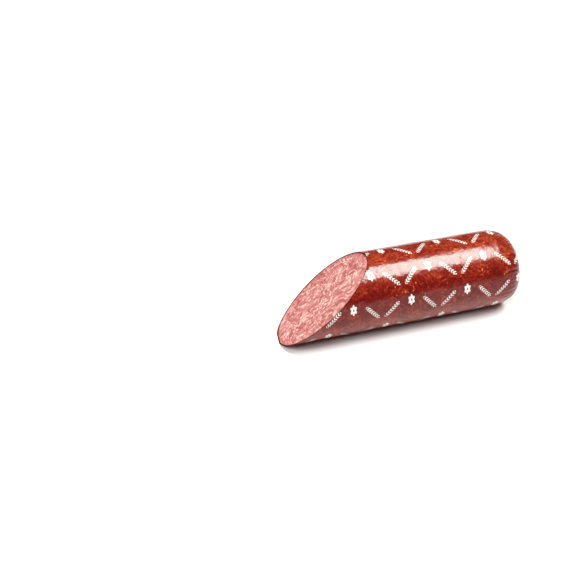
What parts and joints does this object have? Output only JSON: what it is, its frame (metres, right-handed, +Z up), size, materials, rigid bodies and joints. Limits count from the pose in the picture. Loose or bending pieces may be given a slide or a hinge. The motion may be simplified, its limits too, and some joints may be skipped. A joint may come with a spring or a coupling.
{
  "type": "cured sausage",
  "caption": "Half stick of cured salami sausage in a glossy printed casing, cut on the slant to show pink finely ground meat, with a domed end gathered into a metal clip.",
  "frame": {"origin": "on the surface it rests on, under the middle of the bounding box", "axes": "+X along the sausage towards its closed end, +Y across it, +Z up; the cut face looks towards -X and up"},
  "size_m": [0.1974, 0.06, 0.0594],
  "materials": {
    "meat": "moist cut meat, finely ground with pale fat",
    "casing": "glossy clear film over dark red meat, with a small white repeating print",
    "clip": "satin"
  },
  "bodies": {
    "root": {"meat": "meat", "casing": "casing", "clip": "clip"}
  },
  "joints": []
}
